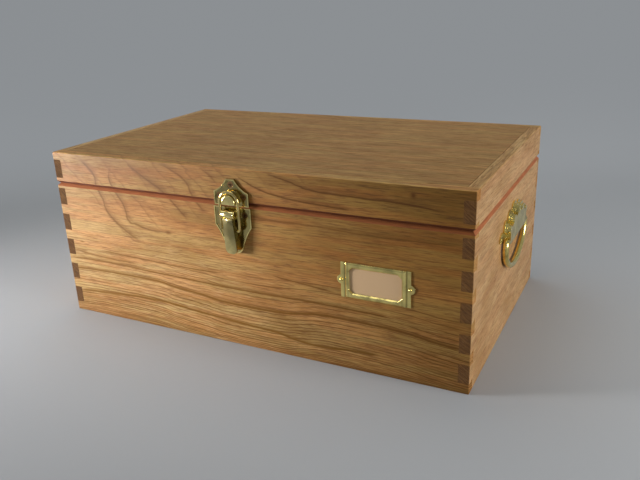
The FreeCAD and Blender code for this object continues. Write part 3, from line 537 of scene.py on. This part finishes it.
def front_marks(surface, x, z):
    """The knots and the growth lines that are listed."""
    marks = surface.even(0.0)
    for at_x, at_z, half_length, half_height in KNOTS:
        spot = x.bump_at(at_x, half_length) * z.bump_at(at_z, half_height)
        marks = marks + spot * KNOT_DARK
    for strength, points in LEVEL_LINES:
        dark = strength * LEVEL_DARK
        marks = marks + growth_line(surface, x, z, points, LEVEL_W, dark, LEVEL_SIDE)
    for strength, points in FALLING_LINES:
        dark = strength * FALLING_DARK
        line = growth_line(surface, x - z, x + z, points, FALLING_W, dark, FALLING_SIDE)
        marks = marks + line
    return marks.at_most(MARKS_MOST)


def front_figure(surface, u, v, w):
    """The front board: lines that fall from the upper left, and others level and waving."""
    x = u + HALF_LENGTH
    falling = (FALL_HEIGHT + (x + v - FALL_SUM) * FALL_RATE).at_least(FALL_LEAST)
    wave = surface.curve(x, LEVEL_LINES[0][1]) - WAVE_MIDDLE
    height = v.smooth_min(falling, FALL_BLEND) - wave * (1.0 - v.ramp(*WAVE_END))
    share = surface.even(RING_SHARE)
    for heights, loss in RING_FADES:
        share = share - v.ramp(*heights) * loss
    return height + w * FRONT_DEPTH, share, front_marks(surface, x, v)


def plain_figure(slope, rise):
    """Nearly straight grain whose height slopes and waves a little along the board."""
    def figure(surface, u, v, w):
        wave = (u / PLAIN_WAVE_L).sin() * rise
        height = v + u * slope + wave + w * PLAIN_DEPTH + PLAIN_START
        return height, surface.even(1.0), 0.0
    return figure


# ================================================================ metal, red wood and card
RED_WOOD = (0.460, 0.145, 0.045)
# The lid's strips: the same red wood with painted shade, as their bevel faces down.
RED_WOOD_SHADED = (0.210, 0.058, 0.018)
# The colour of the painted shadow in the seam.
SEAM_SHADOW_COLOUR = (0.065, 0.016, 0.004)
RED_STREAK_L = 12.0
RED_STREAK_W = 0.6
RED_STREAK_RANGE = (0.3, 0.8)
RED_DEEP = 0.6            # the streaks' tone, as a share of the wood's
RED_FACING = 0.2
RED_SHADE = 0.8           # the share of the front boards' painted shade that the strips have
# How strong the painted shadow in the seam is.
SEAM_SHADOW_LEAST = 0.06
SEAM_SHADOW_FROM_SHADE = 0.85         # what full painted shade adds to that
# Painted shadow in the seam: the base's strips darken near their tops, over these heights.
# The lid's lie above them.
SEAM_SHADOW_RANGE = (130.3, 130.9)
RED_ROUGH = 0.5
RED_GLOSS = 0.3

BRASS_CLOUD = 110.0       # scales of noise, in waves to the metre
BRASS_RIPPLE = 130.0
BRASS_CLOUD_RANGE = (0.40, 0.75)
BRASS_DULL = 0.6          # the tone of the clouds and of the darkening, as shares of the brass's
BRASS_DARKENED = 0.30
BRASS_UNEVEN = 0.10
BRASS_RELIEF = 0.45 * MM
CARD_PALE = linear(196, 164, 124)
CARD_DEEP = linear(180, 148, 108)
CARD_FIBRE = 1500.0
CARD_RELIEF = 0.02 * MM
CARD_ROUGH = 0.7

# Places in millimetres: the front boards' face, and the middle of the label holder.
FRONT_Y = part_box("base_front")[0][1] / MM
LABEL_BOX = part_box("label_frame")
LABEL_X = (LABEL_BOX[0][0] + LABEL_BOX[1][0]) / 2.0 / MM

# Darkened brass, by places in millimetres: painted shade in the plates' fields, the screws'
# recesses and the label holder's creases, and a darker tongue on the lever.
PLATE_RIM = (1.15, 1.45)        # from the sunk field to the rim, out from the front face
PLATE_SHADE_DEPTH = 0.72
SCREW_RECESS = (-0.80, -0.65)   # from the heads' faces into their recesses, by y
LEVER_TONGUE = (84.0, 110.0)    # up the tongue, by height
LEVER_LEAN = 0.4
LEVER_BARREL = (119.5, 120.5)
LEVER_DARK = 0.78
LABEL_FOOT = (25.7, 0.7)        # out from the holder's middle, and half the line's width
LABEL_FOOT_DARK = 0.8
LABEL_WINDOW = (22.4, 0.4)
LABEL_WINDOW_DARK = 0.5


def red_wood(name, tone):
    """The strips along the seam: dense red wood with fine pores, painted shade and a painted
    shadow.
    """
    surface = Surface(name)
    x, y, z = surface.millimetres()
    vector = surface.joined(x / RED_STREAK_L, y / RED_STREAK_L, z / RED_STREAK_W)
    streaks = surface.noise(vector, 1.0, 3.0).ramp(*RED_STREAK_RANGE)
    shade = front_painted_shade(x, z) * facing_front(surface, RED_FACING) * RED_SHADE
    colour = painted_shade(surface, surface.mix(streaks, tone, darker(tone, RED_DEEP)), shade)
    # A painted shadow in the seam between the strips.
    seam = z.ramp(*SEAM_SHADOW_RANGE) * (shade * SEAM_SHADOW_FROM_SHADE + SEAM_SHADOW_LEAST)
    surface.paint(surface.mix(seam, colour, SEAM_SHADOW_COLOUR))
    surface.roughness(RED_ROUGH)
    surface.gloss(RED_GLOSS)
    return surface.material


def brass(name, tone, rough, darkening=None):
    """Polished brass plate, a little greenish, darker in places.

    darkening(x, y, z) is a field of darker brass, in millimetres; on the plates, the screws and
    the label holder it is painted shade.
    """
    surface = Surface(name)
    cloud = surface.noise(surface.place, BRASS_CLOUD, 2.0)
    colour = surface.mix(cloud.ramp(*BRASS_CLOUD_RANGE), tone, darker(tone, BRASS_DULL))
    if darkening:
        share = darkening(*surface.millimetres())
        colour = surface.mix(share, colour, darker(tone, BRASS_DARKENED))
    surface.paint(colour)
    surface.shader.inputs["Metallic"].default_value = 1.0
    surface.roughness(cloud * BRASS_UNEVEN + rough)
    surface.relief(surface.noise(surface.place, BRASS_RIPPLE, 1.0), BRASS_RELIEF)
    return surface.material


def plate_painted_shade(x, y, z):
    """Painted shade in the plates' sunk fields; their raised rims stay bright, a painted
    highlight.
    """
    return PLATE_SHADE_DEPTH - (FRONT_Y - y).ramp(*PLATE_RIM) * PLATE_SHADE_DEPTH


def screw_recess_shade(x, y, z):
    """Painted shade in the recesses of the catch's screws, behind their heads' faces."""
    return (y - FRONT_Y).ramp(*SCREW_RECESS)


def lever_darkening(x, y, z):
    """Darker on the upper part of the lever's tongue, up to its barrel."""
    tongue = (z + x * LEVER_LEAN).ramp(*LEVER_TONGUE)
    return tongue * (1.0 - z.ramp(*LEVER_BARREL)) * LEVER_DARK


def label_crease_shade(x, y, z):
    """Painted shadow: dark lines at each side, along the moulding's foot and along the window."""
    out = (x - LABEL_X).abs()
    foot = out.bump_at(*LABEL_FOOT) * LABEL_FOOT_DARK
    window = out.bump_at(*LABEL_WINDOW) * LABEL_WINDOW_DARK
    return (foot + window).at_most(1.0)


def card():
    """Plain buff card."""
    surface = Surface("card")
    fibre = surface.noise(surface.place, CARD_FIBRE, 3.0)
    surface.paint(surface.mix(fibre, CARD_PALE, CARD_DEEP))
    surface.roughness(CARD_ROUGH)
    surface.relief(fibre, CARD_RELIEF)
    return surface.material


# ================================================================ putting materials on
SIDES = ("front", "back", "left", "right")
# Each board: how its grain runs, its figure, its colour multiplier (partly the wood's colour,
# partly painted sheen), its seed, and the strengths of its growth lines and of its end grain.
BOARDS = {
    "front": ("front", front_figure, (1.02, 1.12, 1.60), 0.0, 1.0, 0.2),
    "back": ("front", plain_figure(0.04, 3.0), (1.0, 1.08, 1.55), 3.7, 1.0, 0.2),
    "left": ("side", plain_figure(-0.03, 2.5), (0.96, 1.07, 1.95), 7.1, 0.38, 0.9),
    "right": ("side", plain_figure(0.02, 2.5), (0.96, 1.07, 1.95), 11.3, 0.38, 0.9),
    "top": ("flat", plain_figure(0.03, 4.0), (1.10, 1.20, 1.45), 5.9, 0.7, 0.9),
    "bottom": ("flat", plain_figure(0.02, 3.0), (1.0, 1.08, 1.5), 15.2, 1.0, 0.9),
}
# Most brass is satin: its colour and its roughness.
SATIN = ((0.92, 0.74, 0.25), 0.17)
# The other kinds: colour, roughness, darkening (painted shade on the plates, screws and label),
# and the nodes they are on.
BRASSES = {
    "polished": ((0.72, 0.57, 0.23), 0.08, None, ("catch_loop", "catch_pivot_pin")),
    "plates": ((0.92, 0.76, 0.31), 0.12, plate_painted_shade, ("strike_plate", "catch_plate")),
    "dark": ((0.19, 0.105, 0.045), 0.30, screw_recess_shade, ("strike_screws", "catch_screws")),
    "lever": ((0.92, 0.76, 0.33), 0.10, lever_darkening, ("catch_lever",)),
    "label": ((0.96, 0.79, 0.29), 0.13, label_crease_shade, ("label_frame",)),
}
# Fittings whose sharp edges are rounded, once their coinciding vertices are joined.
EASED = [
    "strike_plate", "catch_plate", "catch_lever", "label_frame", "handle_left_plate",
    "handle_right_plate",
]
WELD_REACH = 0.002 * MM
EASED_W = 0.25 * MM
EASED_FROM = math.radians(35.0)


def dress(node, material):
    """Give a CAD node its material."""
    data = frame["nodes"][node].data
    data.materials.clear()
    data.materials.append(material)


def dress_case():
    boards = {}
    for name, settings in BOARDS.items():
        boards[name] = wood(f"wood_{name}", *settings, name == "front")
    for half in ("base", "lid"):
        for side in SIDES:
            dress(f"{half}_{side}", boards[side])
    dress("lid_top_panel", boards["top"])
    dress("base_bottom", boards["bottom"])
    # The lid's strips take the red wood with painted shade.
    for half, tone in (("base", RED_WOOD), ("lid", RED_WOOD_SHADED)):
        red = red_wood(f"red_wood_{half}", tone)
        for side in SIDES:
            dress(f"{half}_rim_{side}", red)


def ease_edges(node):
    """Round a fitting's sharp edges a little, so that they catch the light."""
    weld = frame["nodes"][node].modifiers.new("joined faces", "WELD")
    weld.merge_threshold = WELD_REACH
    bevel = frame["nodes"][node].modifiers.new("eased edges", "BEVEL")
    bevel.width = EASED_W
    bevel.harden_normals = True
    bevel.segments = 2
    bevel.limit_method = "ANGLE"
    bevel.angle_limit = EASED_FROM


def dress_fittings():
    satin = brass("brass_satin", *SATIN)
    for part in frame["record"]["subparts"]:
        if part["material_slot"] == "brass":
            dress(part["node"], satin)
    for name, (tone, rough, darkening, nodes) in BRASSES.items():
        metal = brass(f"brass_{name}", tone, rough, darkening)
        for node in nodes:
            dress(node, metal)
    for node in EASED:
        ease_edges(node)
    dress("label_card", card())


# ================================================================ studio
# The camera's angles are in radians: its turn from +Y towards +X, its dip and its roll.
CAMERA_AT = Vector((0.3095, -0.5701, 0.2952))
CAMERA_AZIMUTH = -0.4773
CAMERA_DIP = 0.3515
CAMERA_ROLL = -0.0395
CAMERA_LENS = 38.5675
CAMERA_SENSOR = 36.0
CAMERA_NEAR = 0.01

# Each lamp: its name, place, the point it is turned to, width, height, watts, colour and
# spread in degrees.
LAMPS = [
    ("key", (-0.82, -0.54, 0.14), (-0.13, -0.12, 0.065), 0.26, 0.24, 1.65, (1.0, 0.98, 1.0), 60.0),
    ("side", (1.25, -0.20, 0.32), (0.2, 0.0, 0.08), 0.6, 0.5, 11.0, WHITE, 180.0),
    ("top", (-0.5, 0.4, 1.6), (-0.3, 0.5, 0.1), 1.6, 1.0, 8.0, WHITE, 180.0),
    ("back", (-1.2, 0.0, 1.0), (-0.9, 1.0, 0.5), 0.8, 0.8, 2.5, WHITE, 180.0),
]
WORLD_COLOUR = (0.85, 0.90, 0.95)
WORLD_LIGHT = 0.14        # strength of the light from all round
WORLD_SEEN = 0.292        # how pale the world and the far floor look
FLOOR_COLOUR = linear(181, 184, 186)
FLOOR_ROUGH = 0.9
FLOOR_FAR = (0.42, 0.95)  # distances over which the floor's shading gives way to an even tone
FLOOR_HALF = 3.0
FLOOR_BACK = 0.55         # where the floor begins to curve up
FLOOR_CURVE_R = 0.5
FLOOR_CURVE_STEPS = 12
BACKDROP_H = 2.4


def set_camera():
    """The camera, level to the horizon apart from a slight roll."""
    azimuth, dip, roll = CAMERA_AZIMUTH, CAMERA_DIP, CAMERA_ROLL
    forward = Vector((
        math.sin(azimuth) * math.cos(dip), math.cos(azimuth) * math.cos(dip), -math.sin(dip)
    ))
    level = forward.cross(Vector((0, 0, 1))).normalized()
    lift = level.cross(forward)
    right = level * math.cos(roll) + lift * math.sin(roll)
    up = lift * math.cos(roll) - level * math.sin(roll)
    data = bpy.data.cameras.new("camera")
    data.lens = CAMERA_LENS
    data.sensor_width = CAMERA_SENSOR
    data.clip_start = CAMERA_NEAR
    camera = bpy.data.objects.new("camera", data)
    turn = Matrix((right, up, -forward)).transposed().to_4x4()
    camera.matrix_world = Matrix.Translation(CAMERA_AT) @ turn
    bpy.context.scene.collection.objects.link(camera)
    bpy.context.scene.camera = camera


def area_light(name, place, aim, width, height, power, colour, spread):
    """A soft rectangular lamp at a place, turned to a point."""
    data = bpy.data.lights.new(name, "AREA")
    data.shape = "RECTANGLE"
    data.size = width
    data.size_y = height
    data.energy = power
    data.color = colour
    data.spread = math.radians(spread)
    lamp = bpy.data.objects.new(name, data)
    lamp.location = place
    aim_line = Vector(aim) - Vector(place)
    lamp.rotation_euler = aim_line.to_track_quat("-Z", "Y").to_euler()
    bpy.context.scene.collection.objects.link(lamp)


def seen_share(tree):
    """One for what the eye sees, straight or in a gloss or a glass, and nought for light."""
    path = tree.nodes.new("ShaderNodeLightPath")
    straight, glossy, through = [
        Field(tree, path.outputs[f"Is {ray} Ray"]) for ray in ("Camera", "Glossy", "Transmission")
    ]
    return straight.at_least(glossy).at_least(through)


def set_world():
    """Dim light from all round, which looks as pale as the backdrop, also in the metal."""
    world = bpy.data.worlds.new("world")
    world.use_nodes = True
    strength = seen_share(world.node_tree) * (WORLD_SEEN - WORLD_LIGHT) + WORLD_LIGHT
    background = world.node_tree.nodes["Background"]
    background.inputs["Color"].default_value = WORLD_COLOUR + (1.0,)
    world.node_tree.links.new(strength.socket, background.inputs["Strength"])
    bpy.context.scene.world = world


def floor_mesh():
    """A level sheet that curves up into a backdrop."""
    profile = [(-FLOOR_HALF, 0.0), (FLOOR_BACK, 0.0)]
    for step in range(1, FLOOR_CURVE_STEPS + 1):
        angle = step / FLOOR_CURVE_STEPS * math.pi / 2
        out = FLOOR_CURVE_R * math.sin(angle)
        profile.append((FLOOR_BACK + out, FLOOR_CURVE_R * (1 - math.cos(angle))))
    profile.append((FLOOR_BACK + FLOOR_CURVE_R, BACKDROP_H))
    points = [(x, y, z) for y, z in profile for x in (-FLOOR_HALF, FLOOR_HALF)]
    faces = [(i, i + 1, i + 3, i + 2) for i in range(0, len(points) - 2, 2)]
    mesh = bpy.data.meshes.new("floor")
    mesh.from_pydata(points, [], faces)
    for face in mesh.polygons:
        face.use_smooth = True
    return mesh


def floor_material():
    """Plain pale floor near the case; farther out it looks an even tone."""
    surface = Surface("floor")
    x, y, z = surface.split(surface.place)
    away = (x * x + y * y + z * z) ** 0.5
    far = away.ramp(*FLOOR_FAR) * seen_share(surface.tree)
    surface.paint(surface.mix(far, FLOOR_COLOUR, BLACK))
    surface.shader.inputs["Emission Color"].default_value = WORLD_COLOUR + (1.0,)
    glow = far * WORLD_SEEN
    surface.tree.links.new(glow.socket, surface.shader.inputs["Emission Strength"])
    surface.roughness(FLOOR_ROUGH)
    return surface.material


def set_floor():
    floor = bpy.data.objects.new("floor", floor_mesh())
    floor.data.materials.append(floor_material())
    bpy.context.scene.collection.objects.link(floor)


dress_case()
dress_fittings()
set_camera()
for lamp_settings in LAMPS:
    area_light(*lamp_settings)
set_world()
set_floor()
bpy.context.scene.view_settings.view_transform = "Standard"
